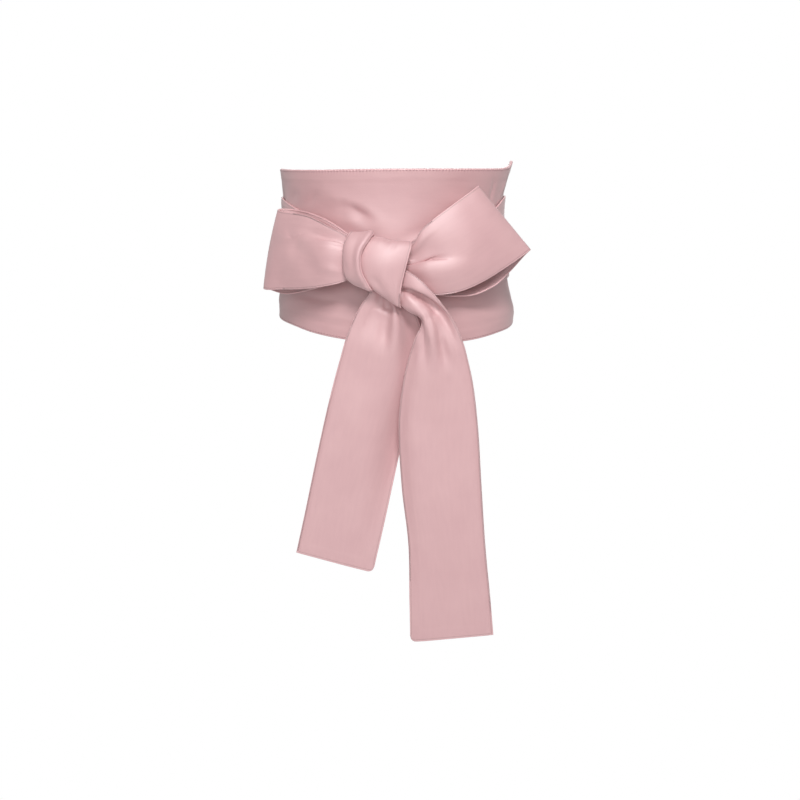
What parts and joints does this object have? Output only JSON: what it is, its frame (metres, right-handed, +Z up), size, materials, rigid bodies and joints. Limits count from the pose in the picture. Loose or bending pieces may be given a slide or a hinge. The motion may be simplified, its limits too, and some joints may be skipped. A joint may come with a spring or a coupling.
{
  "type": "obi belt",
  "caption": "Wide pink satin obi belt in its worn form: a shaped waist panel with two ties crossed behind and knotted in a bow in front, its tails hanging.",
  "frame": {"origin": "middle of the wearer's waist inside the belt, at the height of the belt's waistline", "axes": "+Z up along the wearer's trunk, -Y the wearer's front where the bow is, +X to the right as seen from the front"},
  "size_m": [0.2519, 0.2188, 0.4538],
  "materials": {
    "satin": "dusty pink satin with a soft sheen"
  },
  "bodies": {
    "root": {"panel": "satin", "wrap_left": "satin", "wrap_right": "satin", "loop_left": "satin", "loop_right": "satin", "tail_left": "satin", "tail_right": "satin", "knot_band": "satin", "knot_collar": "satin", "knot_core": "satin"}
  },
  "joints": []
}
